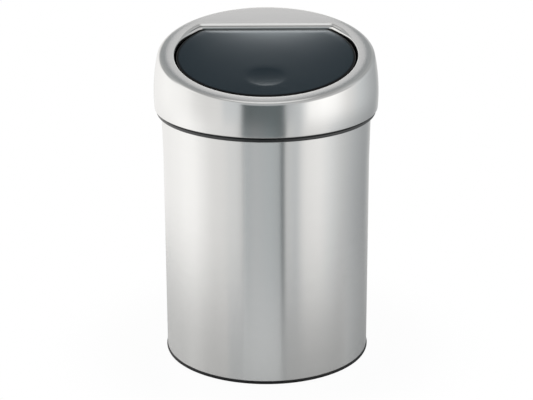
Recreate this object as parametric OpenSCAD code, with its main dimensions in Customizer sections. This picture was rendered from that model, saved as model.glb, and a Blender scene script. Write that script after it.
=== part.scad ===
// Push top countertop bin: a steel body, a lid unit whose flap is pushed inwards
// and springs back, and a lift-out bucket. Millimetres, +Z up, front towards -Y, origin at the
// middle of the foot on the table.

/* [Body] */
// Outer diameter of the steel body tube
body_d = 160; // [140:1:200]
// Sheet thickness of the body tube
body_sheet = 0.6; // [0.4:0.1:1]
// Height of the body tube's upper edge above the table
body_h = 200.5; // [170:0.5:260]
// Radius of the rolled bead at the body tube's upper edge
bead_r = 1.0; // [0.8:0.1:1.4]
// Height of the plastic base ring that shows below the steel
base_ring_h = 2.9; // [2:0.1:8]
// Thickness of the base ring's lip outside the steel
base_lip_t = 0.6; // [0.4:0.1:1.5]
// Width of the base ring inside the steel
base_inner_w = 6; // [4:0.5:12]
// Thickness of the base ring under the steel
base_web_t = 1.0; // [0.8:0.1:1.5]
// Height that the base ring's inner part stands above its lip
base_step_h = 1.1; // [0.8:0.1:3]
// Height that the rubber foot stands out below the base ring
foot_h = 0.4; // [0.2:0.1:1.5]
// Width of the rubber foot ring
foot_w = 4; // [2:0.5:4]
// Depth that the rubber foot sits in the base ring
foot_groove = 0.8; // [0.5:0.1:1.2]
// Thickness of the floor disc
floor_t = 1.2; // [0.8:0.1:3]

/* [Bucket] */
// Wall thickness of the bucket
bucket_wall = 1.4; // [1:0.1:2.5]
// Radius by which the bucket narrows from rim to floor
bucket_taper = 4.5; // [1:0.5:10]
// Width of the bucket's rim flange outside its wall
bucket_rim_w = 1.5; // [1:0.1:2]
// Thickness of the bucket's rim flange
bucket_rim_t = 2; // [1.5:0.1:4]
// Diameter of the bail's steel wire
bail_wire_d = 2; // [1.6:0.1:2.4]
// Height from the bail's pivot up to the bucket's rim
bail_drop = 6; // [5:0.5:12]
// Diameter of the plastic grip on the bail
grip_d = 3.6; // [3:0.1:3.8]
// Half angle that the grip covers along the bail
grip_half_angle = 14; // [8:1:30]
// Clearance of the bail's grip from the body tube and from the bucket's rim
grip_gap = 0.8; // [0.5:0.1:1.2]
// Length of the bail's pins inside the bucket's wall
hook_l = 1.5; // [1:0.1:3]
// Clearance between the bucket's rim and the lid's skirt
bucket_top_gap = 2; // [1:0.5:6]

/* [Lid shell] */
// Widest radius of the lid outside the body tube
lid_overhang = 6.4; // [5:0.1:9]
// Sheet thickness of the steel lid shell
lid_sheet = 0.6; // [0.4:0.1:0.8]
// Distance of the lid shell's lower edge below the body tube's upper edge
lid_lap = 1.0; // [0.5:0.1:1.5]
// Height from the lid shell's lower edge to its widest line
bulge_rise = 11; // [8:0.1:14]
// Radius of the side wall's long curve
side_arc_r = 140; // [130:5:220]
// Height of the sloping top above the lid shell's lower edge, at the middle
lid_h = 44; // [40:0.5:52]
// Slope of the lid's top
lid_slant = 11.5; // [9:0.5:13]
// Distance of the top's round outline inside the lid's widest line
top_inset = 2.4; // [2:0.1:3]
// Angle by which the side leans out below the top's edge, past the slope
side_splay = 7; // [5:0.5:9]
// Height of the hem turned in at the lid shell's lower edge
hem_h = 1.0; // [0.6:0.1:1.2]
// Radius of the rounding between side and top
edge_fillet = 3.6; // [2:0.1:5]
// Forward shift of the top's round outline
top_shift = 3.7; // [2:0.1:5]
// Forward shift of the round opening
opening_shift = 5.4; // [4:0.1:7]
// Distance of the opening's straight rear edge behind the middle
rear_edge_y = 43.1; // [38:0.1:48]
// Radius of the opening's rear corners
corner_r = 4; // [3:0.5:12]
// Depth of the flange turned down round the opening
collar_depth = 4; // [3:0.1:5]

/* [Lid frame] */
// Height of the plastic band that shows below the lid shell
band_h = 3.7; // [2.5:0.1:5]
// Distance of the band's face inside the lid shell's widest line
band_inset = 1.8; // [1.7:0.1:2.4]
// Wall of the plastic band
band_t = 2.4; // [1.6:0.1:2.6]
// Rounding of the band's lower edge
band_round = 0.8; // [0.5:0.1:1.2]
// Depth of the skirt that plugs into the body tube
skirt_depth = 14.5; // [10:0.5:20]
// Wall of the skirt
skirt_t = 1.5; // [1:0.1:2]
// Distance of the lid frame's tallest point inside the body tube's face
wall_in = 2; // [1:0.5:4]
// Wall of the lid frame
frame_wall = 1.0; // [0.8:0.1:1.6]
// Thickness of the lid frame's flange, top plate and rear shelf
frame_t = 1.5; // [1.2:0.1:2.5]
// Depth of the rear shelf below the hinge axis
shelf_depth = 9.5; // [9:0.1:12]

/* [Flap] */
// Gap all round the flap
flap_gap = 1.6; // [1.2:0.1:2.2]
// Gap behind the flap's straight rear edge
rear_gap = 0.9; // [0.8:0.1:1.5]
// Height of the flap's top below the lid's top, at the middle
flap_drop = 2.1; // [1.5:0.1:3]
// Slope of the flap
flap_slant = 10.2; // [8:0.1:12]
// Thickness of the flap cover's skin
skin_t = 2; // [1.6:0.1:2.4]
// Depth of the flap cover's rim
rim_depth = 4.5; // [3.8:0.1:5]
// Wall of the flap cover's rim
rim_t = 1.3; // [1:0.1:1.3]
// Thickness of the liner under the skin
liner_t = 1.45; // [1.2:0.05:1.45]
// Radius of the finger dimple's outline
dimple_r = 15; // [10:0.5:20]
// Depth of the finger dimple
dimple_depth = 1.2; // [0.5:0.1:1.4]
// Distance of the finger dimple in front of the middle
dimple_y = 42; // [30:1:50]
// Distance of the liner's screws inside the opening's widest line
flap_screw_in = 26.6; // [20:0.1:32]
// Distance of the liner's rear screws in front of the hinge axis
flap_screw_back = 21; // [14:0.5:28]
// Distance of the liner's front screws inside the opening's front end
flap_screw_front = 36.4; // [30:0.1:42]

/* [Hinge] */
// Diameter of the hinge pin
pin_d = 3; // [2.6:0.1:3.2]
// Depth of the hinge axis below the flap's top
hinge_depth = 5; // [4.9:0.1:5.4]
// Distance of the hinge axis in front of the flap's rear edge
hinge_back = 4.2; // [4:0.1:5]
// Radius of the hinge knuckles and ears
knuckle_r = 2.7; // [2.6:0.05:2.75]
// Distance of each bracket ear from the middle
ear_x = 22; // [18:0.5:28]
// Thickness of each bracket ear
ear_t = 2; // [1.5:0.1:3]
// Length of each knuckle
knuckle_l = 5; // [4:0.5:7]
// Thickness of the bracket's base
bracket_t = 1.2; // [1:0.1:1.3]
// Distance that the bracket's base reaches behind the hinge axis
bracket_back = 14; // [12:0.5:18]
// Distance of the bracket's screws inside its rear edge
bracket_screw_in = 4.5; // [3:0.1:5]
// Distance that the bracket's base reaches beside its ears
bracket_side = 3; // [2:0.5:5]
// Length of the bosses below the shelf
boss_l = 5; // [3:0.5:7]
// Wall of the bosses
boss_wall = 1.8; // [1.2:0.1:2.4]
// Rim of the hinge pin's head and of its clip
pin_head_rim = 0.6; // [0.4:0.05:0.7]
// Thickness of the hinge pin's head and of its clip
pin_head_t = 1; // [0.6:0.1:1.4]
// Diameter of the rubber buffers that stop the closed flap
buffer_d = 3; // [2:0.1:3.4]
// Distance of each rubber buffer from the middle
buffer_x = 12; // [10:0.5:13]
// Length of the torsion spring's coil
coil_l = 14; // [8:0.5:16]
// Thickness of the torsion spring's wire
coil_wire = 0.8; // [0.6:0.1:0.85]
// Length of the spring's leg under the flap, from the hinge axis
spring_leg_l = 20; // [12:1:30]

/* [Fits] */
// Radial clearance of a pin, plunger or screw in its hole
fit_gap = 0.06; // [0.04:0.01:0.1]
// Clearance between pieces that seat without touching
seat_gap = 0.3; // [0.2:0.05:0.4]
// Clearance of the lid's skirt inside the body tube
skirt_gap = 0.6; // [0.4:0.05:0.8]
// Clearance of the opening's flange inside the lid frame
collar_gap = 0.15; // [0.1:0.05:0.3]
// Clearance of the frame's flange inside the steel lid
flange_gap = 0.2; // [0.1:0.05:0.4]
// Clearance beside a bracket ear, and under the pin's head and clip
ear_side_gap = 0.3; // [0.2:0.05:0.5]
// Clearance between the liner and the flap cover
liner_gap = 0.05; // [0.02:0.01:0.1]
// Clearance between the liner's edge and the flap cover's rim
liner_edge_gap = 0.15; // [0.1:0.05:0.3]
// Radial clearance of the spring's coil on the hinge pin
coil_gap = 0.25; // [0.15:0.05:0.3]
// Clearance of a screw's tip in its hole
screw_tip_gap = 0.8; // [0.4:0.1:1]
// Radius of the screws' shanks
screw_r = 1.0; // [0.8:0.1:1.2]
// Radius of the screws' heads
screw_head_r = 2.0; // [1.8:0.1:2.2]
// Height of the screws' heads
screw_head_h = 0.9; // [0.8:0.1:1.2]

/* [Hidden] */
$fn = 96;

// a cut runs past the faces that it opens by this much
over = 1;
// half the side of a block that is larger than the bin's width
far = 150;

steel = [0.75, 0.75, 0.74];
black_plastic = [0.12, 0.12, 0.13];
dark_plastic = [0.2, 0.23, 0.26];
grey_plastic = [0.35, 0.36, 0.38];
wire_steel = [0.6, 0.6, 0.62];

// body
body_r = body_d / 2;
tube_in_r = body_r - body_sheet;
tube_low_z = foot_h + base_web_t;
base_in_r = tube_in_r - base_inner_w;
base_top_z = base_ring_h + base_step_h;
floor_top_z = base_top_z + floor_t;
foot_r = tube_in_r - foot_w / 2;

// bucket: the bail lies round the wall, below the rim and inside the tube
bail_r = tube_in_r - grip_d / 2 - grip_gap;
bucket_rim_r = bail_r - grip_d / 2 - grip_gap;
bucket_top_r = bucket_rim_r - bucket_rim_w;
bucket_floor_r = bucket_top_r - bucket_taper;
skirt_low_z = body_h - skirt_depth;
bucket_top_z = skirt_low_z - bucket_top_gap;
bucket_low_z = floor_top_z + seat_gap;
bail_z = bucket_top_z - bail_drop;

// lid shell
lid_r = body_r + lid_overhang;
lid_edge_z = body_h - lid_lap;
bulge_z = lid_edge_z + bulge_rise;
lid_top_z = lid_edge_z + lid_h;
fillet_steps = 8;
// the top's outline, seen square to the slope, and the side's lean there
top_r = lid_r - top_inset;
side_lean = lid_slant + side_splay;

// radius of the lid shell's outside at a height
function shell_r(z) = lid_r - side_arc_r + sqrt(side_arc_r * side_arc_r - (z - bulge_z) * (z - bulge_z));

// lid frame
lid_edge_r = shell_r(lid_edge_z);
band_r = lid_r - band_inset;
band_low_z = lid_edge_z - band_h;
flange_z = body_h + seat_gap;
flange_r = lid_edge_r - lid_sheet - flange_gap;
skirt_r = tube_in_r - skirt_gap;
wall_drop = lid_sheet + 2 * seat_gap;
// the wall's height where the sloping top ends behind
wall_top_z = lid_top_z + tan(lid_slant) * (body_r - wall_in) - wall_drop;
wall_r = shell_r(wall_top_z) - lid_sheet - seat_gap;
wall_in_r = wall_r - frame_wall;

// opening
opening_r = wall_in_r - lid_sheet - collar_gap - opening_shift;

// flap and hinge
flap_top_z = lid_top_z - flap_drop;
hinge_y = rear_edge_y - rear_gap - hinge_back;
hinge_z = flap_top_z + tan(flap_slant) * hinge_y - hinge_depth / cos(flap_slant);
skin_low = hinge_depth - skin_t;
liner_top = skin_low - liner_gap;
liner_low = liner_top - liner_t;
ear_in_x = ear_x - ear_t / 2;
ear_out_x = ear_x + ear_t / 2;
knuckle_end_x = ear_out_x + ear_side_gap + knuckle_l;
pin_head_r = pin_d / 2 + pin_head_rim;
pin_head_x = knuckle_end_x + ear_side_gap;
bracket_low = -shelf_depth;
bracket_top = bracket_low + bracket_t;
bracket_screw_x = ear_x / 2;
bracket_screw_y = bracket_back - bracket_screw_in;
bracket_half = ear_out_x + bracket_side;
bracket_front = -0.5;
shelf_low = bracket_low - frame_t;
shelf_front = bracket_front - 0.5;
boss_r = screw_r + boss_wall;
coil_in_r = pin_d / 2 + coil_gap;
buffer_y = hinge_back - rim_t / 2;
flap_screw_l = hinge_depth - liner_low - screw_tip_gap;
flap_screw_x = opening_r - flap_screw_in;
flap_screw_y = [-flap_screw_back, flap_screw_front - opening_r - opening_shift - hinge_y];
// two pieces of one solid sink into each other by this much
sink = 0.2;

// Places children in the hinge's frame: the flap's slope, from the axis.
module on_hinge() {
  translate([0, hinge_y, hinge_z]) rotate([flap_slant, 0, 0]) children();
}

// A slab parallel to the flap, between two heights from the hinge axis.
module flap_slab(low, high) {
  on_hinge() translate([-far, -far, low]) cube([2 * far, 2 * far, high - low]);
}

// A slab parallel to the lid's top, between two depths below it.
module top_slab(shallow, deep) {
  translate([0, 0, lid_top_z]) rotate([lid_slant, 0, 0])
    translate([-far, -far, -deep]) cube([2 * far, 2 * far, deep - shallow]);
}

// A round tube standing on a height.
module tube(outer_r, inner_r, z, h) {
  translate([0, 0, z]) difference() {
    cylinder(r = outer_r, h = h);
    translate([0, 0, -over]) cylinder(r = inner_r, h = h + 2 * over);
  }
}

// A rod along X, between two places.
module rod_x(r, x0, x1) {
  translate([x0, 0, 0]) rotate([0, 90, 0]) cylinder(r = r, h = x1 - x0);
}

// The opening's outline, drawn in by inset all round and by rear_inset behind.
module opening_outline(inset, rear_inset) {
  r = opening_r - inset;
  rear_y = rear_edge_y - rear_inset;
  cr = corner_r - min(inset, corner_r - 1);
  corner_y = rear_y - cr;
  corner_x = sqrt((r - cr) * (r - cr) - (corner_y + opening_shift) * (corner_y + opening_shift));
  tangent_y = -opening_shift + (corner_y + opening_shift) * r / (r - cr);
  intersection() {
    translate([0, -opening_shift]) circle(r = r);
    translate([-r - over, -r - opening_shift - over])
      square([2 * (r + over), tangent_y + r + opening_shift + over]);
  }
  translate([-corner_x, -opening_shift]) square([2 * corner_x, rear_y + opening_shift]);
  for (side = [-1, 1]) translate([side * corner_x, corner_y]) circle(r = cr);
}

// A standing prism on the opening's outline.
module opening_prism(inset, rear_inset) {
  linear_extrude(height = 2 * lid_top_z) opening_outline(inset, rear_inset);
}

// The lid shell's side profile, drawn in by inset: one long curve.
module shell_profile(inset, low_z) {
  intersection() {
    translate([lid_r - side_arc_r, bulge_z]) circle(r = side_arc_r - inset);
    translate([0, low_z]) square([lid_r, side_arc_r / 2]);
  }
}

// The round top: flat, with a rounded edge that leans out into the sides.
module top_profile(inset) {
  fillet = edge_fillet - inset;
  centre_r = top_r - edge_fillet;
  arc = [for (i = [0:fillet_steps]) 90 - (90 - side_lean) * i / fillet_steps];
  lean_r = centre_r + fillet * cos(side_lean);
  lean_z = -edge_fillet + fillet * sin(side_lean);
  polygon(concat(
    [[0, -inset]],
    [for (a = arc) [centre_r + fillet * cos(a), -edge_fillet + fillet * sin(a)]],
    [[lean_r + (lean_z + far) * tan(side_lean), -far], [0, -far]]
  ));
}

// The lid's whole outer form, drawn in by inset.
module lid_form(inset, low_z) {
  intersection() {
    rotate_extrude() shell_profile(inset, low_z);
    translate([0, 0, lid_top_z]) rotate([lid_slant, 0, 0]) translate([0, -top_shift, 0])
      rotate_extrude() top_profile(inset);
  }
}

// A screw that points along -Z, with its head's seat at the origin.
module screw(length) {
  translate([0, 0, -length]) cylinder(r = screw_r, h = length + screw_head_h / 2);
  slot_w = screw_r / 2;
  slot_l = 1.2 * screw_head_r;
  difference() {
    cylinder(r = screw_head_r, h = screw_head_h);
    for (turn = [0, 90]) rotate([0, 0, turn])
      translate([-slot_l / 2, -slot_w / 2, screw_head_h / 2]) cube([slot_l, slot_w, screw_head_h]);
  }
}

module body_tube() {
  color(steel) {
    tube(body_r, tube_in_r, tube_low_z, body_h - bead_r - tube_low_z);
    translate([0, 0, body_h - bead_r]) rotate_extrude()
      translate([tube_in_r + bead_r, 0]) circle(r = bead_r);
  }
}

module base_ring() {
  color(black_plastic) difference() {
    union() {
      tube(body_r + base_lip_t, base_in_r, foot_h, base_ring_h - foot_h);
      tube(tube_in_r - fit_gap, base_in_r, foot_h, base_top_z - foot_h);
    }
    tube(body_r + fit_gap, tube_in_r - fit_gap, tube_low_z, base_ring_h);
    tube(foot_r + fit_gap, foot_r - foot_w - fit_gap, foot_h - over, over + foot_groove);
  }
}

module rubber_foot() {
  color([0.08, 0.08, 0.08]) tube(foot_r, foot_r - foot_w, 0, foot_h + foot_groove);
}

module floor_disc() {
  color(grey_plastic) translate([0, 0, base_top_z])
    cylinder(r = tube_in_r - seat_gap, h = floor_t);
}

module lid_shell() {
  color(steel) difference() {
    union() {
      difference() {
        lid_form(0, lid_edge_z);
        lid_form(lid_sheet, lid_edge_z - over);
      }
      intersection() {
        difference() {
          opening_prism(-lid_sheet, -lid_sheet);
          opening_prism(0, 0);
        }
        top_slab(lid_sheet / 2, collar_depth);
      }
      tube(lid_edge_r - lid_sheet / 2, band_r + collar_gap, lid_edge_z, hem_h);
    }
    opening_prism(0, 0);
  }
}

module lid_frame() {
  color(black_plastic) {
    tube(skirt_r, skirt_r - skirt_t, skirt_low_z, flange_z + frame_t - skirt_low_z);
    tube(flange_r, wall_in_r, flange_z, frame_t);
    // wall up to just under the sloping top
    difference() {
      tube(wall_r, wall_in_r, flange_z, 2 * lid_h);
      top_slab(-2 * far, wall_drop);
    }
    // plate under the steel top, round the opening's flange
    difference() {
      intersection() {
        cylinder(r = (wall_r + wall_in_r) / 2, h = 2 * lid_top_z);
        top_slab(wall_drop, wall_drop + frame_t);
      }
      opening_prism(-lid_sheet - seat_gap, -lid_sheet - seat_gap);
    }
    // shelf behind the flap, which carries the hinge
    difference() {
      intersection() {
        cylinder(r = (wall_r + wall_in_r) / 2, h = 2 * lid_top_z);
        on_hinge() translate([-far, shelf_front, shelf_low]) cube([2 * far, far, frame_t]);
      }
      bracket_screw_holes();
    }
    bracket_bosses();
  }
}

// Holes for the bracket's screws, through the shelf and its bosses.
module bracket_screw_holes() {
  on_hinge() for (side = [-1, 1])
    translate([side * bracket_screw_x, bracket_screw_y, shelf_low - boss_l - over])
      cylinder(r = screw_r + fit_gap, h = boss_l + frame_t + 2 * over);
}

module bracket_bosses() {
  difference() {
    on_hinge() for (side = [-1, 1])
      translate([side * bracket_screw_x, bracket_screw_y, shelf_low - boss_l])
        cylinder(r = boss_r, h = boss_l + frame_t / 2);
    bracket_screw_holes();
  }
}

module lid_band() {
  round_z = band_low_z + band_round;
  color(dark_plastic) rotate_extrude() {
    translate([band_r - band_t, round_z]) square([band_t, flange_z - round_z]);
    translate([band_r - band_t, band_low_z]) square([band_t - band_round, 2 * band_round]);
    translate([band_r - band_round, round_z]) circle(r = band_round);
  }
}

module hinge_bracket() {
  color(wire_steel) on_hinge() difference() {
    union() {
      translate([-bracket_half, bracket_front, bracket_low])
        cube([2 * bracket_half, bracket_back - bracket_front, bracket_t]);
      for (side = [-1, 1]) translate([side * ear_x, 0, 0]) {
        rod_x(knuckle_r, -ear_t / 2, ear_t / 2);
        translate([-ear_t / 2, bracket_front, bracket_top - sink])
          cube([ear_t, knuckle_r - bracket_front, sink - bracket_top]);
      }
    }
    rod_x(pin_d / 2 + fit_gap, -far, far);
    for (side = [-1, 1]) translate([side * bracket_screw_x, bracket_screw_y, bracket_low - over])
      cylinder(r = screw_r + 2 * fit_gap, h = bracket_t + 2 * over);
  }
}

module bracket_screws() {
  color(wire_steel) on_hinge() for (side = [-1, 1])
    translate([side * bracket_screw_x, bracket_screw_y, bracket_top])
      screw(bracket_t + frame_t + boss_l - screw_tip_gap);
}

module hinge_pin() {
  color(wire_steel) on_hinge() {
    rod_x(pin_d / 2, -pin_head_x - pin_head_t / 2, pin_head_x + 1.4 * pin_head_t);
    rod_x(pin_head_r, -pin_head_x - pin_head_t, -pin_head_x);
  }
}

module pin_clip() {
  color(wire_steel) on_hinge() difference() {
    rod_x(pin_head_r, pin_head_x, pin_head_x + pin_head_t);
    rod_x(pin_d / 2 + fit_gap / 2, pin_head_x - over, pin_head_x + pin_head_t + over);
  }
}

module hinge_spring() {
  half = coil_l / 2;
  leg_low = liner_low - coil_wire - fit_gap;
  color(wire_steel) on_hinge() {
    difference() {
      rod_x(coil_in_r + coil_wire, -half, half);
      rod_x(coil_in_r, -half - over, half + over);
    }
    translate([half - coil_wire, -spring_leg_l, leg_low])
      cube([coil_wire, spring_leg_l - coil_in_r - coil_wire / 4, coil_wire]);
    translate([-half, coil_in_r + coil_wire / 8, bracket_top + fit_gap])
      cube([coil_wire, coil_wire * 3 / 4, -bracket_top - fit_gap]);
  }
}

module stop_buffers() {
  color([0.08, 0.08, 0.08]) on_hinge() for (side = [-1, 1])
    translate([side * buffer_x, buffer_y, bracket_top])
      cylinder(d = buffer_d, h = hinge_depth - rim_depth - seat_gap - bracket_top);
}

module flap_cover() {
  dimple_ball_r = (dimple_r * dimple_r + dimple_depth * dimple_depth) / (2 * dimple_depth);
  color(dark_plastic) difference() {
    intersection() {
      opening_prism(flap_gap, rear_gap);
      flap_slab(hinge_depth - rim_depth, hinge_depth);
    }
    intersection() {
      opening_prism(flap_gap + rim_t, rear_gap + rim_t);
      flap_slab(-far, skin_low);
    }
    on_hinge() {
      translate([0, -(hinge_y + dimple_y) / cos(flap_slant), hinge_depth + dimple_ball_r - dimple_depth])
        sphere(r = dimple_ball_r, $fn = 192);
      flap_screw_places() translate([0, 0, liner_low])
        cylinder(r = screw_r + fit_gap, h = flap_screw_l);
    }
  }
}

// Puts children at the four screws of the liner.
module flap_screw_places() {
  for (side = [-1, 1]) for (y = flap_screw_y) translate([side * flap_screw_x, y, 0]) children();
}

// The liner's cuts for the bracket's ears and the spring, open to the rear.
module liner_notches() {
  front = -knuckle_r - seat_gap;
  ear_notch = ear_t + 2 * ear_side_gap;
  coil_notch = coil_l + 4 * ear_side_gap;
  for (side = [-1, 1]) translate([side * ear_x - ear_notch / 2, front, -far])
    cube([ear_notch, far, 2 * far]);
  translate([-coil_notch / 2, front, -far]) cube([coil_notch, far, 2 * far]);
}

module flap_liner() {
  knuckle_x = [ear_out_x + ear_side_gap, ear_in_x - ear_side_gap - knuckle_l];
  edge_in = rim_t + liner_edge_gap;
  color(black_plastic) difference() {
    union() {
      intersection() {
        opening_prism(flap_gap + edge_in, rear_gap + edge_in);
        flap_slab(liner_low, liner_top);
      }
      on_hinge() for (side = [-1, 1]) for (x = knuckle_x)
        translate([side * (x + knuckle_l / 2), 0, 0]) rod_x(knuckle_r, -knuckle_l / 2, knuckle_l / 2);
    }
    on_hinge() {
      liner_notches();
      rod_x(pin_d / 2 + fit_gap, -far, far);
      for (side = [-1, 1]) translate([side * (knuckle_end_x + over), 0, 0])
        rod_x(pin_head_r + seat_gap, -over, over + pin_head_t);
      flap_screw_places() translate([0, 0, -far / 2]) cylinder(r = screw_r + fit_gap, h = far);
    }
  }
}

module flap_screws() {
  color(wire_steel) on_hinge() flap_screw_places()
    translate([0, 0, liner_low]) mirror([0, 0, 1]) screw(flap_screw_l - sink);
}

module inner_bucket() {
  h = bucket_top_z - bucket_low_z;
  color(grey_plastic) difference() {
    union() {
      translate([0, 0, bucket_low_z]) cylinder(r1 = bucket_floor_r, r2 = bucket_top_r, h = h);
      translate([0, 0, bucket_top_z - bucket_rim_t]) cylinder(r = bucket_rim_r, h = bucket_rim_t);
    }
    translate([0, 0, bucket_low_z + bucket_wall])
      cylinder(r1 = bucket_floor_r - bucket_wall, r2 = bucket_top_r - bucket_wall, h = h);
    translate([0, 0, bail_z]) rod_x(bail_wire_d / 2 + fit_gap, -far, far);
  }
}

module bucket_bail() {
  hook_r = bucket_top_r - bucket_wall - hook_l;
  color(wire_steel) translate([0, 0, bail_z]) {
    rotate([0, 0, 180]) rotate_extrude(angle = 180) translate([bail_r, 0]) circle(d = bail_wire_d);
    rod_x(bail_wire_d / 2, hook_r, bail_r);
    rod_x(bail_wire_d / 2, -bail_r, -hook_r);
    for (side = [-1, 1]) translate([side * bail_r, 0, 0]) sphere(d = bail_wire_d);
  }
}

module bail_grip() {
  color(grey_plastic) translate([0, 0, bail_z]) rotate([0, 0, 270 - grip_half_angle])
    rotate_extrude(angle = 2 * grip_half_angle) translate([bail_r, 0]) difference() {
      circle(d = grip_d);
      circle(d = bail_wire_d + 2 * fit_gap);
    }
}

body_tube();
base_ring();
rubber_foot();
floor_disc();
lid_shell();
lid_frame();
lid_band();
hinge_bracket();
bracket_screws();
hinge_pin();
pin_clip();
hinge_spring();
stop_buffers();
flap_cover();
flap_liner();
flap_screws();
inner_bucket();
bucket_bail();
bail_grip();
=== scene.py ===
import math

import bpy
from mathutils import Matrix, Vector


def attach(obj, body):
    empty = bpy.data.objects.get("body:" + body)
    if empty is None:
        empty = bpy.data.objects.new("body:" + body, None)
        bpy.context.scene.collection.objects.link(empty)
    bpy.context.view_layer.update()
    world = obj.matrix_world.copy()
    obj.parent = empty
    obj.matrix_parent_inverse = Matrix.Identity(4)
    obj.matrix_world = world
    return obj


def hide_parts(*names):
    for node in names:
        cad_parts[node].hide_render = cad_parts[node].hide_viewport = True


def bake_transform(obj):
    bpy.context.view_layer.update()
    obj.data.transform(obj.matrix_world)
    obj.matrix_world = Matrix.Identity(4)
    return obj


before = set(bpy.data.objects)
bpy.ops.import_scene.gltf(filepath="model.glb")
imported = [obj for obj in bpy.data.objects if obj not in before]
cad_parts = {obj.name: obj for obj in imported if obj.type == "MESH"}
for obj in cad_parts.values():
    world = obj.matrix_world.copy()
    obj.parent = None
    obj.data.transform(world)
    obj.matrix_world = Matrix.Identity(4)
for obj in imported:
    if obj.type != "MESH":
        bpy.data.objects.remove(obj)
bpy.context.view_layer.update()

# The camera stands 1.3 m in front of the bin and looks down on it through a
# long lens, as the photographer did.
CAMERA_BACK = 1.3
CAMERA_HEIGHT = 0.5829
CAMERA_DOWN = math.radians(19.53)
CAMERA_ROLL = math.radians(-0.2)
CAMERA_LENS = 118.5
SENSOR_WIDTH = 36

bpy.ops.object.select_all(action="DESELECT")
bpy.ops.object.camera_add(location=(0, -CAMERA_BACK, CAMERA_HEIGHT))
camera = bpy.context.object
camera.name = "camera"
camera.matrix_world = (
    Matrix.Translation((0, -CAMERA_BACK, CAMERA_HEIGHT))
    @ Matrix.Rotation(math.pi / 2 - CAMERA_DOWN, 4, "X")
    @ Matrix.Rotation(CAMERA_ROLL, 4, "Z")
)
camera.data.sensor_width = SENSOR_WIDTH
camera.data.lens = CAMERA_LENS
camera.data.clip_start = 0.05
camera.data.clip_end = 50
bpy.context.scene.camera = camera
bpy.context.scene.view_settings.view_transform = "Standard"


# The body is a sheet steel tube, rolled, welded down the back and brushed
# round and round. Its upper edge is rolled outwards to a round bead. The sizes
# of pieces are in millimetres; those in materials, board and lights in metres.
MM = 0.001
TUBE_R = 80.0
TUBE_SHEET = 0.6
TUBE_LOW = 1.4
TUBE_TOP = 200.5
TUBE_EDGE = 0.2
TUBE_STRAIGHT = 60
BEAD_R = 1.0
BEAD_NECK = 40
BEAD_START = -66
TURNED_STEPS = 240
SMOOTH_BELOW = math.radians(35)
WELDED = 0.000002


class Socket:
    """A shader socket that Python's own operators work on, one Math node for each."""

    def __init__(self, sheet, out):
        self.sheet = sheet
        self.out = out

    def maths(self, operation, *others):
        values = dict(enumerate((self, *others)))
        return self.sheet.node("ShaderNodeMath", {"operation": operation}, values)

    def from_other(self, operation, other):
        return self.sheet.node("ShaderNodeMath", {"operation": operation}, {0: other, 1: self})

    def __add__(self, other):
        return self.maths("ADD", other)

    def __radd__(self, other):
        return self.maths("ADD", other)

    def __sub__(self, other):
        return self.maths("SUBTRACT", other)

    def __rsub__(self, other):
        return self.from_other("SUBTRACT", other)

    def __mul__(self, other):
        return self.maths("MULTIPLY", other)

    def __rmul__(self, other):
        return self.maths("MULTIPLY", other)

    def __truediv__(self, other):
        return self.maths("DIVIDE", other)

    def __rtruediv__(self, other):
        return self.from_other("DIVIDE", other)

    def __neg__(self):
        return self.maths("MULTIPLY", -1)

    def __abs__(self):
        return self.maths("ABSOLUTE")

    def step(self, low, high):
        """0 below low and 1 above high, with a soft ramp between."""
        settings = {"interpolation_type": "SMOOTHSTEP"}
        values = {"Value": self, "From Min": low, "From Max": high}
        return self.sheet.node("ShaderNodeMapRange", settings, values)


class Sheet:
    """A material's or the world's node tree, on which nodes are laid."""

    def __init__(self, owner):
        owner.use_nodes = True
        self.tree = owner.node_tree
        self.tree.nodes.clear()
        self.owner = owner

    def node(self, kind, settings=None, values=None, out=0):
        """A node of this type, with its settings and its sockets' values or links."""
        made = self.tree.nodes.new(kind)
        for name, value in (settings or {}).items():
            if name == "stops":
                ramp = made.color_ramp
                while len(ramp.elements) > 1:
                    ramp.elements.remove(ramp.elements[-1])
                for i, (place, colour) in enumerate(value):
                    stop = ramp.elements[0] if i == 0 else ramp.elements.new(place)
                    stop.position = place
                    stop.color = (*colour, 1)
            else:
                setattr(made, name, value)
        for name, value in (values or {}).items():
            if isinstance(value, Socket):
                self.tree.links.new(value.out, made.inputs[name])
            else:
                made.inputs[name].default_value = value
        return Socket(self, made.outputs[out])

    def place(self):
        return self.node("ShaderNodeTexCoord", out="Object")

    def parts(self, vector):
        """The x, y and z of a vector."""
        split = self.node("ShaderNodeSeparateXYZ", {}, {0: vector})
        return [Socket(self, split.out.node.outputs[i]) for i in range(3)]

    def stretched(self, vector, scale):
        return self.node("ShaderNodeMapping", {}, {"Vector": vector, "Scale": scale})

    def noise(self, vector, scale, detail, rough):
        values = {"Vector": vector, "Scale": scale, "Detail": detail, "Roughness": rough}
        return self.node("ShaderNodeTexNoise", {}, values)

    def blend(self, share, first, second):
        """One colour going over into another, by the colour sockets of a Mix node."""
        values = {0: share, 6: first, 7: second}
        return self.node("ShaderNodeMix", {"data_type": "RGBA"}, values, out=2)

    def finish(self, shader):
        """Links a shader to the tree's output."""
        kind = "World" if isinstance(self.owner, bpy.types.World) else "Material"
        output = self.tree.nodes.new(f"ShaderNodeOutput{kind}")
        self.tree.links.new(shader.out, output.inputs["Surface"])

    def surface(self, values, relief, strength, distance):
        """The Principled shader, with its relief as a bump."""
        bump = {"Height": relief, "Strength": strength, "Distance": distance}
        values = {**values, "Normal": self.node("ShaderNodeBump", {}, bump)}
        self.finish(self.node("ShaderNodeBsdfPrincipled", {}, values))
        return self.owner


def clear_selection():
    if bpy.context.object and bpy.context.object.mode != "OBJECT":
        bpy.ops.object.mode_set(mode="OBJECT")
    bpy.ops.object.select_all(action="DESELECT")


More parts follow.
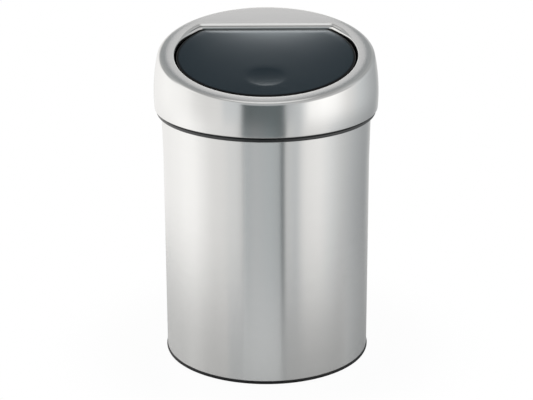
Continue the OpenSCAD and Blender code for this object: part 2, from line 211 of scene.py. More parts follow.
def drawn(name, outline):
    """A line through (r, z) points in millimetres, drawn on the plane y = 0."""
    clear_selection()
    r, z = outline[0]
    bpy.ops.mesh.primitive_plane_add(size=0.001, location=(r * MM, 0, z * MM))
    piece = bpy.context.object
    bpy.ops.object.transform_apply(location=True, rotation=True, scale=True)
    piece.name = piece.data.name = name
    bpy.ops.object.mode_set(mode="EDIT")
    bpy.ops.mesh.select_all(action="SELECT")
    bpy.ops.mesh.merge(type="CENTER")
    for (r0, z0), (r1, z1) in zip(outline, outline[1:]):
        move = {"value": ((r1 - r0) * MM, 0, (z1 - z0) * MM)}
        bpy.ops.mesh.extrude_vertices_move(TRANSFORM_OT_translate=move)
    return piece


def closed_up(piece, smooth_below=SMOOTH_BELOW):
    """Merges doubles, points the faces outwards and shades the piece smooth."""
    bpy.ops.mesh.select_all(action="SELECT")
    bpy.ops.mesh.remove_doubles(threshold=WELDED)
    bpy.ops.mesh.normals_make_consistent(inside=False)
    bpy.ops.object.mode_set(mode="OBJECT")
    bpy.ops.object.shade_smooth_by_angle(angle=smooth_below)
    return piece


def turned(name, outline):
    """A closed outline of (r, z) points, turned about the bin's axis."""
    piece = drawn(name, outline + outline[:1])
    bpy.ops.mesh.select_all(action="SELECT")
    bpy.ops.mesh.remove_doubles(threshold=WELDED)
    bpy.ops.mesh.select_all(action="SELECT")
    bpy.ops.mesh.spin(steps=TURNED_STEPS, angle=2 * math.pi, center=(0, 0, 0), axis=(0, 0, 1))
    return closed_up(piece)


def arc(r, z, radius, start, end, count):
    """Points on an arc, its angles in degrees from the r axis."""
    turns = [math.radians(start + (end - start) * i / count) for i in range(count + 1)]
    return [(r + radius * math.cos(t), z + radius * math.sin(t)) for t in turns]


def fitted(piece, body, node, material):
    """Hands a finished piece over: what it moves with and what it stands for."""
    piece.data.materials.clear()
    piece.data.materials.append(material)
    if body:
        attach(piece, body)
    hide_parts(node)


STEEL = (0.8, 0.8, 0.79)
STEEL_ROUGH = 0.2
FINE_LINES = (6, 6, 5200)
BROAD_LINES = (3, 3, 900)
LINE_TINT, BROAD_TINT = 0.75, 0.25
LINE_ROUGH = 0.06
WELD_HALF, WELD_EDGE = 0.0003, 0.0007
HEAT_HALF, HEAT_EDGE = 0.001, 0.004
WELD_TINT, HEAT_TINT = 0.6, 0.15
WELD_ROUGH = 0.15
WELD_RISE = 3
WELD_COLOUR = (0.42, 0.4, 0.37, 1)


def brushed_round(name, anisotropy, streaks, welded=False):
    """Steel brushed round the bin's axis: fine lines that keep one height."""
    sheet = Sheet(bpy.data.materials.new(name))
    place = sheet.place()
    lines = sheet.noise(sheet.stretched(place, FINE_LINES), 1.0, 3, 0.7)
    broad = sheet.noise(sheet.stretched(place, BROAD_LINES), 1.0, 2, 0.5)
    dark = tuple(c * (1 - 2 * streaks) for c in STEEL)
    pale = tuple(c * (1 + streaks) for c in STEEL)
    tint = sheet.blend(lines * LINE_TINT + broad * BROAD_TINT, (*dark, 1), (*pale, 1))
    rough = STEEL_ROUGH + (lines - 0.5) * LINE_ROUGH
    relief = lines
    if welded:
        x, y = sheet.parts(place)[:2]
        rear = y.step(0, 0.01)
        weld = (1 - abs(x).step(WELD_HALF, WELD_EDGE)) * rear
        heat = (1 - abs(x).step(HEAT_HALF, HEAT_EDGE)) * rear
        tint = sheet.blend(weld * WELD_TINT + heat * HEAT_TINT, tint, WELD_COLOUR)
        rough = rough + weld * WELD_ROUGH
        relief = lines + weld * WELD_RISE
    values = {
        "Base Color": tint,
        "Metallic": 1.0,
        "Roughness": rough,
        "Anisotropic": anisotropy,
        "Anisotropic Rotation": 0.25,
    }
    return sheet.surface(values, relief, strength=0.06, distance=0.00002)


tube_in = TUBE_R - TUBE_SHEET
bead_z = TUBE_TOP - BEAD_R
bead_mid = tube_in + BEAD_R
body_tube = turned(
    "body_tube_rolled",
    [(TUBE_R, z) for z in (TUBE_LOW + TUBE_EDGE, TUBE_LOW + TUBE_STRAIGHT, bead_z - BEAD_NECK)]
    + arc(bead_mid, bead_z, BEAD_R, BEAD_START, 180, 16)
    + [(tube_in, z) for z in (bead_z - BEAD_NECK, TUBE_LOW + TUBE_STRAIGHT, TUBE_LOW + TUBE_EDGE)]
    + [(tube_in + TUBE_EDGE, TUBE_LOW), (TUBE_R - TUBE_EDGE, TUBE_LOW)],
)
steel = brushed_round("brushed_body_steel", anisotropy=0.8, streaks=0.04, welded=True)
fitted(body_tube, "bin_body", "body_tube", steel)


# The base ring is a black moulded ring that the tube's lower edge is pressed
# into. Its lip shows as a thin dark line; a rubber ring under it grips the table.
RING_R = 80.6
RING_IN_R = 73.4
RING_LOW = 0.4
RING_LIP_TOP = 2.9
RING_TOP = 4.0
RING_FACE_R = 2.2
RING_FACE_TURN = 32
RING_UNDERCUT = 0.9
RING_FIT = 0.06
RING_ROUND = 0.4
FOOT_GROOVE = 0.8
FOOT_GROOVE_OUT = 1.94
BLACK = (0.006, 0.006, 0.007)
GRAIN_SCALE = 2600
FLOW_SCALE = 38


def moulded(name, colour, rough, grain=0.35, depth=0.12, specular=0.5):
    """Moulded plastic or rubber: a fine spark-eroded grain and faint flow marks."""
    sheet = Sheet(bpy.data.materials.new(name))
    place = sheet.place()
    fine = sheet.noise(place, GRAIN_SCALE, 3, 0.6)
    broad = sheet.noise(place, FLOW_SCALE, 3, 0.5)
    dark = tuple(c * 0.86 for c in colour)
    pale = tuple(c * 1.12 + 0.002 for c in colour)
    tint = sheet.blend(broad * 0.7 + fine * 0.3, (*dark, 1), (*pale, 1))
    values = {
        "Base Color": tint,
        "Roughness": rough + (fine - 0.5) * 0.12 + (broad - 0.5) * 0.06,
        "Specular IOR Level": specular,
    }
    return sheet.surface(values, fine * grain + broad * (1 - grain), depth, distance=0.00008)


ring_mid = (RING_LOW + RING_LIP_TOP) / 2
base_ring = turned(
    "base_ring_moulded",
    [(RING_R - RING_UNDERCUT, RING_LOW)]
    + arc(RING_R - RING_FACE_R, ring_mid, RING_FACE_R, -RING_FACE_TURN, RING_FACE_TURN, 10)
    + [(TUBE_R + RING_FIT, RING_LIP_TOP), (TUBE_R + RING_FIT, TUBE_LOW)]
    + [(tube_in - RING_FIT, TUBE_LOW)]
    + arc(tube_in - RING_FIT - RING_ROUND, RING_TOP - RING_ROUND, RING_ROUND, 0, 90, 4)
    + arc(RING_IN_R + RING_ROUND, RING_TOP - RING_ROUND, RING_ROUND, 90, 180, 4)
    + [(RING_IN_R, RING_LOW), (RING_IN_R + RING_FIT, RING_LOW + FOOT_GROOVE)]
    + [(tube_in - FOOT_GROOVE_OUT, RING_LOW + FOOT_GROOVE), (tube_in - FOOT_GROOVE_OUT, RING_LOW)],
)
black = moulded("black_moulded_plastic", BLACK, 0.38, specular=0.35)
fitted(base_ring, "bin_body", "base_ring", black)


# The lid shell is one deep drawn steel cap: a slightly bulged side wall, a
# rounded edge, a sloping top, and a flange turned down round the opening, with
# a wider roll along the opening's straight rear edge. The wide roll's shape is
# given as shares of its size: how far in, and how far down.
LID_R = 86.36
LID_ARC_R = 140.0
LID_BULGE_Z = 210.5
LID_LOW = 199.5
LID_TOP = 243.5
LID_SLOPE = math.tan(math.radians(11.5))
LID_FILLET = 3.6
LID_CROWN = 0.3
LID_SHEET = 0.5
HEM_R = 0.6
HEM_START, HEM_END = -240, -15
SIDE_SHARE = 0.6
SIDE_STEPS = 24
TOP_STEPS = 8
OPENING_R = 70.0
OPENING_SHIFT = 5.4
OPENING_REAR = 43.1
OPENING_CORNER = 4.0
FLANGE_ROLL = 0.9
REAR_ROLL = 3.4
REAR_ROLL_FROM = 14.0
REAR_ROLL_OVER = 24.0
REAR_ROLL_SHAPE = [
    (0.1, 0.02), (0.2, 0.07), (0.36, 0.17), (0.52, 0.28), (0.68, 0.4),
    (0.82, 0.52), (0.92, 0.64), (0.98, 0.77), (1, 0.92),
]
FLANGE_DEPTHS = (3.3, 3.6, 4.0)


def opening_edge(inset, rear_inset):
    """Points round the opening from the middle of its straight rear edge."""
    straight, corner, sweep = 16, 10, 120
    r = OPENING_R - inset
    rear = OPENING_REAR - rear_inset
    round_r = OPENING_CORNER - min(inset, OPENING_CORNER - 1)
    mid_y = rear - round_r
    mid_x = math.sqrt((r - round_r) ** 2 - (mid_y + OPENING_SHIFT) ** 2)
    turn = math.atan2(mid_y + OPENING_SHIFT, mid_x)
    right = [(mid_x * i / straight, rear) for i in range(straight)]
    for i in range(corner):
        t = math.pi / 2 + (turn - math.pi / 2) * i / corner
        right.append((mid_x + round_r * math.cos(t), mid_y + round_r * math.sin(t)))
    for i in range(sweep + 1):
        t = turn + (-math.pi / 2 - turn) * i / sweep
        right.append((r * math.cos(t), -OPENING_SHIFT + r * math.sin(t)))
    return right + [(-x, y) for x, y in right[-2:0:-1]]


def lofted(name, rings):
    """A grid rolled up into rings of points, given in millimetres."""
    clear_selection()
    around = len(rings[0])
    bpy.ops.mesh.primitive_grid_add(x_subdivisions=around, y_subdivisions=len(rings) - 1)
    piece = bpy.context.object
    piece.name = piece.data.name = name
    for vertex, place in enumerate(ring[i % around] for ring in rings for i in range(around + 1)):
        piece.data.vertices[vertex].co = [c * MM for c in place]
    bpy.ops.object.mode_set(mode="EDIT")
    return closed_up(piece)


def lid_column(angle, fraction):
    """A point on the lid's side and rounded edge: 0 at the hem, 1 on the top."""
    slope = LID_SLOPE * math.sin(angle)
    lean = math.sqrt(1 + slope * slope)
    axis_r = LID_R - LID_ARC_R
    rise = LID_TOP - LID_FILLET * lean - LID_BULGE_Z
    a = 1 + slope * slope
    b = rise * slope - axis_r
    c = axis_r ** 2 + rise ** 2 - (LID_ARC_R - LID_FILLET) ** 2
    r = (math.sqrt(b * b - a * c) - b) / a
    z = LID_BULGE_Z + rise + slope * r
    start = math.atan2(z - LID_BULGE_Z, r - axis_r)
    if fraction < SIDE_SHARE:
        low = math.asin((LID_LOW + HEM_R - LID_BULGE_Z) / LID_ARC_R)
        turn = low + (start - low) * fraction / SIDE_SHARE
        return axis_r + LID_ARC_R * math.cos(turn), LID_BULGE_Z + LID_ARC_R * math.sin(turn)
    turn = start + (math.atan2(1, -slope) - start) * (fraction - SIDE_SHARE) / (1 - SIDE_SHARE)
    return r + LID_FILLET * math.cos(turn), z + LID_FILLET * math.sin(turn)


rim = opening_edge(0, 0)
angles = [math.atan2(y, x) for x, y in rim]


def rolled(turn, rear):
    """The rim's ring at one turn of the flange's roll, which widens to the rear."""
    made = []
    for i, (x, y) in enumerate(rim):
        (x0, y0), (x1, y1) = rim[i - 1], rim[(i + 1) % len(rim)]
        long = math.hypot(x1 - x0, y1 - y0)
        share = min(1.0, max(0.0, (y - REAR_ROLL_FROM) / REAR_ROLL_OVER))
        share = share * share * (3 - 2 * share)
        side_out, side_sunk = 1 - math.sin(turn), 1 - math.cos(turn)
        rear_out, rear_sunk = 1 - rear[0], rear[1]
        out = FLANGE_ROLL * side_out * (1 - share) + REAR_ROLL * rear_out * share
        sunk = FLANGE_ROLL * side_sunk * (1 - share) + REAR_ROLL * rear_sunk * share
        x, y = x - (y1 - y0) / long * out, y + (x1 - x0) / long * out
        made.append((x, y, LID_TOP + LID_SLOPE * y - sunk))
    return made


lid_rings = []
hem_mid_r = lid_column(0, 0)[0] - HEM_R
for r, z in arc(hem_mid_r, LID_LOW + HEM_R, HEM_R, HEM_START, HEM_END, 7):
    lid_rings.append([(r * math.cos(t), r * math.sin(t), z) for t in angles])
for step in range(SIDE_STEPS + 1):
    column = [lid_column(t, step / SIDE_STEPS) for t in angles]
    lid_rings.append([(r * math.cos(t), r * math.sin(t), z) for (r, z), t in zip(column, angles)])
top_from, top_to = lid_rings[-2], rolled(0, (0, 0))
for step in range(1, TOP_STEPS + 1):
    share = step / TOP_STEPS
    crown = LID_CROWN * math.sin(math.pi * share)
    ring = []
    for (x, y, z), (ex, ey, ez) in zip(top_from, top_to):
        place = x + (ex - x) * share, y + (ey - y) * share, z + (ez - z) * share + crown
        ring.append(place)
    lid_rings.append(ring)
lid_rings += [rolled(math.radians(10 * i), rear) for i, rear in enumerate(REAR_ROLL_SHAPE, 1)]
for depth in FLANGE_DEPTHS:
    lid_rings.append([(x, y, LID_TOP + LID_SLOPE * y - depth) for x, y in rim])
lid_shell = lofted("lid_shell_drawn", lid_rings)
sheet_steel = lid_shell.modifiers.new("sheet", "SOLIDIFY")
sheet_steel.thickness = LID_SHEET * MM
sheet_steel.offset = -1
bpy.ops.object.modifier_apply(modifier="sheet")
lid_steel = brushed_round("brushed_lid_steel", anisotropy=0.7, streaks=0.035)
fitted(lid_shell, "lid_unit", "lid_shell", lid_steel)


# The band is a dark moulded ring under the lid's steel edge, with a rounded
# face and a groove above it. It hides the body's bead, on which the lid's frame
# rests.
BAND_R = 84.6
BAND_T = 2.4
BAND_LOW = 195.8
BAND_TOP = 200.8
BAND_FACE_R = 1.6
BAND_FACE_UP = 1.25
BAND_FACE_FROM, BAND_FACE_TO = -52, 35
BAND_LIP = 0.5
BAND_GROOVE = 1.2
BAND_GROOVE_LOW = 198.2
BAND_GROOVE_RISE = 0.15
BAND_SOFT = 0.3
band_face_mid = BAND_R - BAND_FACE_R
groove_r = BAND_R - BAND_GROOVE
lid_band = turned(
    "lid_band_moulded",
    arc(band_face_mid, BAND_LOW + BAND_FACE_UP, BAND_FACE_R, BAND_FACE_FROM, BAND_FACE_TO, 12)
    + [(BAND_R - BAND_LIP, BAND_GROOVE_LOW), (groove_r, BAND_GROOVE_LOW + BAND_GROOVE_RISE)]
    + [(groove_r, BAND_TOP), (BAND_R - BAND_T, BAND_TOP)]
    + arc(BAND_R - BAND_T + BAND_SOFT, BAND_LOW + BAND_SOFT, BAND_SOFT, 180, 270, 3),
)
band_plastic = moulded("band_dark_plastic", (0.006, 0.007, 0.008), 0.28, specular=0.9)
fitted(lid_band, "lid_unit", "lid_band", band_plastic)


# The flap's cover is one moulding: a flat slab with a rounded edge, a rim
# below it all round, and a shallow dimple that shows where to push.
FLAP_GAP = 1.6
FLAP_REAR_GAP = 0.9
FLAP_TOP = 241.4
FLAP_TILT = math.radians(10.2)
FLAP_RIM = 4.5
FLAP_RIM_T = 1.3
FLAP_SKIN = 2.0
FLAP_ROUND = 0.8
FLAP_SOFT = 0.3
FLAP_UNDER_SHARES = (1, 0.7, 0.35, 0.05)
FLAP_HOLD_HIGH, FLAP_HOLD_LOW = 0.2, 0.4
FLAP_FLOW_SCALE = 30
FLAP_ROUGH = 0.2
FLAP_SHINE = 0.15
FLAP_COAT_ROUGH = 0.13
DIMPLE_Y = -42.0
DIMPLE_R = 15.0
DIMPLE_DEPTH = 0.45
DIMPLE_RINGS = (1, 0.97, 0.92, 0.85, 0.77, 0.68, 0.57, 0.45, 0.32, 0.17, 0)
DIMPLE_LIP, DIMPLE_SOFT = 0.95, 0.12
# Painted shade: where the flap's edge is painted black for the dark gap round it, and that black.
GAP_SHADE_FROM, GAP_SHADE_TO = 0.0662, 0.0667
SATIN_DARK, SATIN_PALE = (0.003, 0.011, 0.019, 1), (0.006, 0.017, 0.026, 1)
GAP_SHADE_BLACK = (0.001, 0.001, 0.001, 1)


def on_flap(x, y, depth):
    """A place at a depth below the flap's sloping top face."""
    return x, y, FLAP_TOP + math.tan(FLAP_TILT) * y - depth / math.cos(FLAP_TILT)


def flap_ring(inset, depth):
    """A ring of the flap, drawn in by inset and sunk below its top face."""
    edge = opening_edge(FLAP_GAP + inset, FLAP_REAR_GAP + inset)
    return [on_flap(x, y, depth) for x, y in edge]


def to_dimple(ring, radius, share, depth):
    """A ring part of the way from another to a circle about the dimple's middle."""
    made = []
    for x, y, z in ring:
        turn = math.atan2(y - DIMPLE_Y, x)
        circle_x, circle_y = radius * math.cos(turn), DIMPLE_Y + radius * math.sin(turn)
        made.append(on_flap(x + (circle_x - x) * share, y + (circle_y - y) * share, depth))
    return made


under = flap_ring(FLAP_RIM_T, FLAP_SKIN)
flap_rings = [to_dimple(under, 0, share, FLAP_SKIN) for share in FLAP_UNDER_SHARES]
flap_rings.append(under)
flap_rings.append(flap_ring(FLAP_RIM_T, FLAP_SKIN + FLAP_HOLD_HIGH))
flap_rings.append(flap_ring(FLAP_RIM_T, FLAP_RIM - FLAP_HOLD_LOW))
flap_rings += [flap_ring(FLAP_RIM_T - FLAP_SOFT, FLAP_RIM), flap_ring(FLAP_SOFT, FLAP_RIM)]
flap_rings.append(flap_ring(0, FLAP_RIM - FLAP_SOFT))
for turn in range(0, 91, 10):
    inset = FLAP_ROUND * (1 - math.cos(math.radians(turn)))
    flap_rings.append(flap_ring(inset, FLAP_ROUND * (1 - math.sin(math.radians(turn)))))
top = flap_rings[-1]
flap_rings += [to_dimple(top, DIMPLE_R, share / 10, 0) for share in range(1, 10)]
for share in DIMPLE_RINGS:
    sunk = DIMPLE_DEPTH * (1 - share ** 2)
    soft = DIMPLE_SOFT if share > DIMPLE_LIP else 0
    flap_rings.append(to_dimple(top, DIMPLE_R * share, 1, sunk * (1 - soft)))
flap_cover = lofted("flap_cover_moulded", flap_rings)
flap_sheet = Sheet(bpy.data.materials.new("flap_satin_plastic"))
flap_place = flap_sheet.place()
flap_x, flap_y = flap_sheet.parts(flap_place)[:2]
flap_fine = flap_sheet.noise(flap_place, GRAIN_SCALE, 3, 0.6)
flap_broad = flap_sheet.noise(flap_place, FLAP_FLOW_SCALE, 3, 0.5)
forward = flap_y + OPENING_SHIFT * MM
out_from_mid = (flap_x * flap_x + forward * forward).maths("SQRT")
# Painted shade: from 66.2 mm out of the opening's middle, the flap's rounded edge and rim are
# painted matt black and left without the coat. This stands for the dark gap round the flap.
painted_gap_shade = out_from_mid.step(GAP_SHADE_FROM, GAP_SHADE_TO)
satin = flap_sheet.blend(flap_broad * 0.7 + flap_fine * 0.3, SATIN_DARK, SATIN_PALE)
flap_values = {
    "Base Color": flap_sheet.blend(painted_gap_shade, satin, GAP_SHADE_BLACK),
    "Roughness": FLAP_ROUGH + (flap_fine - 0.5) * 0.06 + (flap_broad - 0.5) * 0.03,
    "Specular IOR Level": FLAP_SHINE,
    "Coat Weight": 1 - painted_gap_shade,
    "Coat Roughness": FLAP_COAT_ROUGH,
}
flap_plastic = flap_sheet.surface(flap_values, flap_fine, strength=0.04, distance=0.00008)
fitted(flap_cover, "flap", "flap_cover", flap_plastic)


# The pieces that are right as they come from the drawing keep their shape and
# get their finish: the foot, the floor, the lid's frame, the bracket with its
# screws, the pin and its clip, the buffers, and the liner with its screws.
zinc = Sheet(bpy.data.materials.new("zinc_plated_steel"))
zinc_place = zinc.place()
zinc_spots = zinc.noise(zinc_place, 900, 3, 0.6)
zinc_lines = zinc.noise(zinc.stretched(zinc_place, (40, 3000, 40)), 1.0, 2, 0.6)
zinc_values = {
    "Base Color": zinc.blend(zinc_spots, (0.5, 0.51, 0.53, 1), (0.66, 0.67, 0.68, 1)),
    "Metallic": 1.0,
    "Roughness": 0.3 + zinc_spots * 0.14,
}
zinc_steel = zinc.surface(zinc_values, zinc_lines, strength=0.08, distance=0.00005)
rubber = moulded("black_rubber", (0.012, 0.012, 0.012), 0.7, grain=0.6, depth=0.3)
grey = moulded("grey_moulded_plastic", (0.1, 0.105, 0.11), 0.45)
KEPT = {
    "rubber_foot": rubber,
    "floor_disc": grey,
    "lid_frame": black,
    "hinge_bracket": zinc_steel,
    "bracket_screws": zinc_steel,
    "hinge_pin": zinc_steel,
    "pin_clip": zinc_steel,
    "stop_buffers": rubber,
    "flap_liner": black,
    "flap_screws": zinc_steel,
}
for node, material in KEPT.items():
    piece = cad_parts[node]
    piece.data.materials.clear()
    piece.data.materials.append(material)


# The spring is one length of hard wire wound round the hinge pin, with one leg
# under the flap's liner and the other standing on the bracket.
HINGE = Vector((0, 38.0, 243.157))
COIL_R = 2.15
COIL_HALF = 6.6
WIRE_R = 0.4
COIL_TURNS = 12
COIL_POINTS = 24
LINER_UNDER = 1.5
LEG_PRESS = 0.06
LEG_REACH = 20
LEG_DOWN = (0.8, 2, 4, 6, 7.9)
LEG_SIDE = 1.9
WIRE_SMOOTH = math.radians(50)


def on_hinge(x, y, z):
    """A place in the flap's own slope, from the hinge axis, in millimetres."""
    turn = Matrix.Rotation(FLAP_TILT, 3, "X")
    return HINGE + turn @ Vector((x, y, z))


def wire(name, places, radius, radii=None, sides=6):
    """Round wire along places in millimetres, with closed ends."""
    clear_selection()
    line = bpy.data.curves.new(name, "CURVE")
    line.dimensions = "3D"
    line.bevel_depth = radius * MM
    line.bevel_resolution = sides
    line.use_fill_caps = True
    spline = line.splines.new("POLY")
    spline.points.add(len(places) - 1)
    for point, place, share in zip(spline.points, places, radii or [1] * len(places)):
        point.co = (*(c * MM for c in place), 1)
        point.radius = share
    piece = bpy.data.objects.new(name, line)
    bpy.context.scene.collection.objects.link(piece)
    bpy.context.view_layer.objects.active = piece
    piece.select_set(True)
    bpy.ops.object.convert(target="MESH")
    bpy.ops.object.mode_set(mode="EDIT")
    return closed_up(bpy.context.object, WIRE_SMOOTH)


leg_z = LINER_UNDER - WIRE_R - LEG_PRESS
coil = [on_hinge(COIL_HALF, -LEG_REACH + i, leg_z) for i in range(LEG_REACH - 1)]
coil_steps = COIL_TURNS * COIL_POINTS
start_turn = math.atan2(leg_z, -LEG_SIDE)
end_turn = -2 * math.pi * COIL_TURNS
for i in range(coil_steps + 1):
    share = i / coil_steps
    turn = start_turn + (end_turn - start_turn) * share
    x = COIL_HALF - 2 * COIL_HALF * share
    coil.append(on_hinge(x, COIL_R * math.cos(turn), COIL_R * math.sin(turn)))
coil += [on_hinge(-COIL_HALF, COIL_R, -down) for down in LEG_DOWN]
hinge_spring = wire("hinge_spring_wound", coil, WIRE_R, sides=3)
fitted(hinge_spring, None, "hinge_spring", zinc_steel)
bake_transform(hinge_spring)


# The bucket is a thin tapered moulding with a rounded floor and a rolled rim.
# It stands loose in the body and lifts out.
BUCKET_LOW = 5.5
BUCKET_TOP = 184.0
BUCKET_FLOOR_R = 68.2
BUCKET_TOP_R = 72.7
BUCKET_RIM_R = 74.2
BUCKET_RIM_T = 2.0
BUCKET_WALL = 1.4
BUCKET_MID_R = 70.4
BUCKET_MID_Z = 95
BUCKET_CORNER = 3
BUCKET_WALL_FROM = 5
BUCKET_DRAFT = 0.08
BUCKET_HOLLOW = 0.6
BUCKET_HOLLOW_R, BUCKET_STAND_R = 58, 60
RIM_UNDER, RIM_OUT, RIM_IN = 0.5, 0.9, 0.5
bucket_in = BUCKET_FLOOR_R - BUCKET_WALL
floor_top = BUCKET_LOW + BUCKET_WALL
wall_from = BUCKET_LOW + BUCKET_WALL_FROM
bucket = turned(
    "inner_bucket_moulded",
    [(0, BUCKET_LOW + BUCKET_HOLLOW), (BUCKET_HOLLOW_R, BUCKET_LOW + BUCKET_HOLLOW)]
    + [(BUCKET_STAND_R, BUCKET_LOW)]
    + arc(BUCKET_FLOOR_R - BUCKET_CORNER, BUCKET_LOW + BUCKET_CORNER, BUCKET_CORNER, -90, 0, 6)
    + [(BUCKET_MID_R, BUCKET_MID_Z), (BUCKET_TOP_R, BUCKET_TOP - BUCKET_RIM_T)]
    + arc(BUCKET_RIM_R - RIM_UNDER, BUCKET_TOP - BUCKET_RIM_T + RIM_UNDER, RIM_UNDER, -90, 0, 3)
    + arc(BUCKET_RIM_R - RIM_OUT, BUCKET_TOP - RIM_OUT, RIM_OUT, 0, 90, 5)
    + arc(BUCKET_TOP_R - BUCKET_WALL + RIM_IN, BUCKET_TOP - RIM_IN, RIM_IN, 90, 180, 4)
    + [(BUCKET_MID_R - BUCKET_WALL, BUCKET_MID_Z), (bucket_in + BUCKET_DRAFT, wall_from)]
    + arc(bucket_in - BUCKET_CORNER, floor_top + BUCKET_CORNER, BUCKET_CORNER, 0, -90, 6)
    + [(0, floor_top)],
)
fitted(bucket, "bucket", "inner_bucket", grey)


# The bail is one length of zinc plated wire, bent to a bow. Its ends turn in
# through the bucket's wall, and it lies round the rim when it is down.
BAIL_R = 76.8
BAIL_Z = 178.0
BAIL_WIRE_R = 1.0
BAIL_BEND = 1.6
BAIL_ENTRY = 73.5
BAIL_PIN_IN = 1.5
pin_in = BUCKET_TOP_R - BUCKET_WALL - BAIL_PIN_IN
side = [(pin_in, 0), (BAIL_ENTRY, 0)] + arc(BAIL_R - BAIL_BEND, -BAIL_BEND, BAIL_BEND, 90, 6, 6)
bow = arc(0, 0, BAIL_R, -3, -90, 29)
right = [(x, y, BAIL_Z) for x, y in side + bow]
left = [(-x, y, BAIL_Z) for x, y in (side + bow)[-2::-1]]
bail = wire("bucket_bail_bent", right + left, BAIL_WIRE_R)
fitted(bail, "bail", "bucket_bail", zinc_steel)


# The grip is a black plastic sleeve moulded round the middle of the bail, with
# shallow finger grooves and rounded ends.
GRIP_R = 1.8
GRIP_HALF = 14
GRIP_POINTS = 56
GRIP_GROOVE = 0.93
GRIP_END, GRIP_END_SHARE = 0.72, 22
grip_places, grip_radii = [], []
for i in range(GRIP_POINTS + 1):
    share = i / GRIP_POINTS
    a = math.radians(-90 - GRIP_HALF + 2 * GRIP_HALF * share)
    grip_places.append((BAIL_R * math.cos(a), BAIL_R * math.sin(a), BAIL_Z))
    rounded = min(1.0, min(share, 1 - share) * GRIP_END_SHARE + GRIP_END)
    grip_radii.append(rounded * (1.0 if i % 4 < 2 else GRIP_GROOVE))
grip = wire("bail_grip_moulded", grip_places, GRIP_R, radii=grip_radii)
fitted(grip, "bail", "bail_grip", black)


# The bin stands on a round white paper board. To the camera the board is as
# white as the background, but for a faint shade near the bin. To the bin it is
# satin paper that fades out, so that its edge doesn't show in the steel.
BOARD_R = 0.43
FADE_FROM, FADE_TO = 0.10, 0.42
SHADE_TO = 0.19
SHADE = 0.035
PAPER = (0.76, 0.76, 0.76, 1)
PAPER_SHEEN = (0.8, 0.8, 0.8, 1)
clear_selection()
bpy.ops.mesh.primitive_circle_add(vertices=96, radius=BOARD_R, fill_type="NGON", location=(0, 0, 0))
board = bpy.context.object
board.name = "floor"
paper = Sheet(bpy.data.materials.new("white_paper"))
away = paper.node("ShaderNodeVectorMath", {"operation": "LENGTH"}, {0: paper.place()}, out="Value")
camera_ray = paper.node("ShaderNodeLightPath", out="Is Camera Ray")
matt = paper.node("ShaderNodeBsdfDiffuse", {}, {"Color": PAPER})
sheen = paper.node("ShaderNodeBsdfAnisotropic", {}, {"Color": PAPER_SHEEN, "Roughness": 0.12})
satin_board = paper.node("ShaderNodeMixShader", {}, {0: 0.5, 1: matt, 2: sheen})
nothing = paper.node("ShaderNodeBsdfTransparent")
fade = away.step(FADE_FROM, FADE_TO)
faded = paper.node("ShaderNodeMixShader", {}, {0: fade, 1: satin_board, 2: nothing})
plain = paper.node("ShaderNodeEmission", {}, {"Color": (1, 1, 1, 1), "Strength": 1.0})
plain_share = camera_ray * (1 - SHADE + SHADE * away.step(FADE_FROM, SHADE_TO))
paper.finish(paper.node("ShaderNodeMixShader", {}, {0: plain_share, 1: faded, 2: plain}))
board.data.materials.append(paper.owner)


# The studio round about is white to the camera. To the steel it is a ring of
# soft screens: a wide pale one on the left, a narrower bright one on the right,
# a dark gap between them in front, and dark cloth high up behind. Each stop is
# an angle from the front, in degrees, and a light level set by trial. Heights
# are given as the sine of the angle above the horizon, and each pair of them is
# where a surface starts to show and where it shows in full.
SCREENS = [
    (-180, 0.80), (-150, 1.02), (-120, 1.16), (-97, 1.12), (-85, 1.06), (-75, 0.90), (-62, 0.82),
    (-46, 0.84), (-42, 0.70), (-25, 0.70), (-23.5, 0.10), (-12, 0.14), (8, 0.15), (17.5, 0.12),
    (19, 0.52), (34, 0.66), (44, 1.22), (60, 1.34), (73, 1.26), (90, 0.92), (110, 0.70),
    (130, 0.52), (150, 0.42), (180, 0.80),
]
LOW_SCREENS = [
    (-180, 0.90), (-140, 1.00), (-116, 1.10), (-104, 1.20), (-88, 1.24), (-74, 1.13), (-62, 0.96),
    (-46, 0.90), (-36, 0.88), (-27, 0.76), (-25.5, 0.28), (-22.5, 0.22), (-12, 0.26), (4, 0.22),
    (18, 0.12), (20, 0.12), (21, 0.78), (33, 0.62), (40, 0.82), (62, 0.82), (76, 0.64), (90, 0.53),
    (104, 0.45), (120, 0.38), (143, 0.34), (180, 0.80),
]
WARM, WARM_OVER = (1.01, 1.0, 0.99), 0.75
COOL, COOL_OVER = (0.97, 1.0, 1.02), 0.25
COLD = (0.85, 1.0, 1.04)
GROUND = (0.45, 0.46, 0.47, 1)
OVER_GAP = (0.5, 0.52, 0.53, 1)
OVER_RIGHT = (0.55, 0.55, 0.55, 1)
REAR_SIDES = (0.42, 0.43, 0.43, 1)
REAR_DARK = (0.09, 0.115, 0.13, 1)
HIGH = (0.4, 0.4, 0.4, 1)
ZENITH = (0.95, 0.95, 0.95, 1)
GROUND_RISE, GROUND_SHARE = (-0.75, -0.3), 0.5
SCREENS_RISE = (-0.34, -0.25)
OVER_GAP_TURN, OVER_GAP_RISE = (0.06, 0.075), (0.15, 0.45)
OVER_RIGHT_EAST, OVER_RIGHT_RISE, OVER_RIGHT_NORTH = (0.2, 0.5), (0.18, 0.32), (0.0, 0.3)
REAR_NORTH = (0.1, 0.5)
REAR_SIDES_RISE = (0.38, 0.56)
REAR_DARK_RISE, REAR_DARK_END, REAR_DARK_EAST = (0.36, 0.5), (0.8, 0.9), (0.07, 0.19)
HIGH_RISE = (0.75, 0.85)
ZENITH_RISE = (0.93, 0.965)
world = bpy.data.worlds.new("studio")
bpy.context.scene.world = world
air = Sheet(world)
east, north, up = air.parts(air.node("ShaderNodeTexCoord", out="Generated"))
round_turn = east.maths("ARCTAN2", -north) / (2 * math.pi) + 0.5


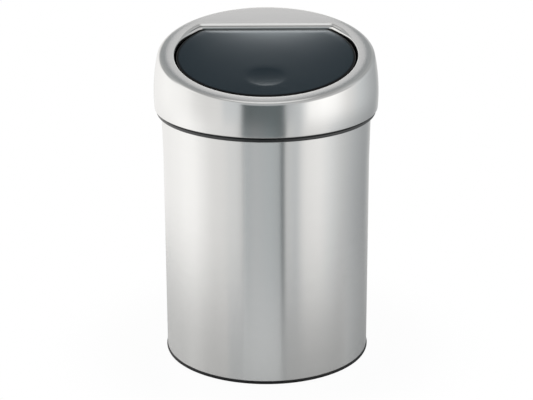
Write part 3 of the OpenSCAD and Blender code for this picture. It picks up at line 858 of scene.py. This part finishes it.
def round_about(screens):
    """The studio's brightness all round, from its stops in degrees."""
    stops = []
    for degrees, bright in screens:
        tint = WARM if bright > WARM_OVER else COOL if bright > COOL_OVER else COLD
        stops.append((degrees / 360 + 0.5, tuple(bright * c for c in tint)))
    return air.node("ShaderNodeValToRGB", {"stops": stops}, {0: round_turn}, out="Color")


down = (1 - up.step(*GROUND_RISE)) * GROUND_SHARE
ground = air.blend(down, round_about(LOW_SCREENS), GROUND)
studio = air.blend(up.step(*SCREENS_RISE), ground, round_about(SCREENS))
over_gap = (1 - abs(round_turn - 0.5).step(*OVER_GAP_TURN)) * up.step(*OVER_GAP_RISE)
over_right = east.step(*OVER_RIGHT_EAST) * up.step(*OVER_RIGHT_RISE)
over_right = over_right * (1 - north.step(*OVER_RIGHT_NORTH))
rear_sides = north.step(*REAR_NORTH) * up.step(*REAR_SIDES_RISE)
rear_dark = north.step(*REAR_NORTH) * up.step(*REAR_DARK_RISE) * (1 - up.step(*REAR_DARK_END))
rear_dark = rear_dark * (1 - abs(east).step(*REAR_DARK_EAST))
studio = air.blend(over_gap, studio, OVER_GAP)
studio = air.blend(over_right, studio, OVER_RIGHT)
studio = air.blend(rear_sides, studio, REAR_SIDES)
studio = air.blend(rear_dark, studio, REAR_DARK)
overhead = air.blend(up.step(*ZENITH_RISE), HIGH, ZENITH)
studio = air.blend(up.step(*HIGH_RISE), studio, overhead)
seen = air.node("ShaderNodeLightPath", out="Is Camera Ray")
shown = air.blend(seen, studio, (1, 1, 1, 1))
air.finish(air.node("ShaderNodeBackground", {}, {"Color": shown, "Strength": 1.0}))


# Three softboxes each light one surface: the lid's steel and the dark flap from
# behind and above, and the body from the front, in the gap between the screens.
# Each shines on that piece alone, and nothing else stops its light.
def softbox(name, lit, shape, place, aim, width, height, level, colour):
    """A flat light of an even brightness that only one piece sees."""
    clear_selection()
    bpy.ops.object.light_add(type="AREA", location=place)
    light = bpy.context.object
    light.name = name
    light.data.shape = shape
    light.data.color = colour
    light.data.size = width
    light.data.size_y = height
    light.data.energy = level * math.pi * width * height * math.pi / 4
    toward = Vector((0, 0, aim)) - Vector(place)
    light.rotation_euler = toward.to_track_quat("-Z", "Y").to_euler()
    seen_by = bpy.data.collections.new(name + "_lights")
    seen_by.objects.link(lit)
    light.light_linking.receiver_collection = seen_by
    light.light_linking.blocker_collection = seen_by


softbox(
    "rear_screen", lid_shell, "ELLIPSE", place=(0, 0.62, 0.72), aim=0.245,
    width=0.28, height=0.56, level=0.56, colour=(1.0, 0.955, 0.935),
)
softbox(
    "flap_screen", flap_cover, "ELLIPSE", place=(0.006, 0.265, 0.352), aim=0.245,
    width=0.17, height=0.092, level=1.95, colour=(0.95, 1.0, 1.02),
)
softbox(
    "front_screen", body_tube, "RECTANGLE", place=(-0.075, -0.93, -0.13), aim=0.11,
    width=0.65, height=0.46, level=0.45, colour=(0.99, 1.0, 1.01),
)
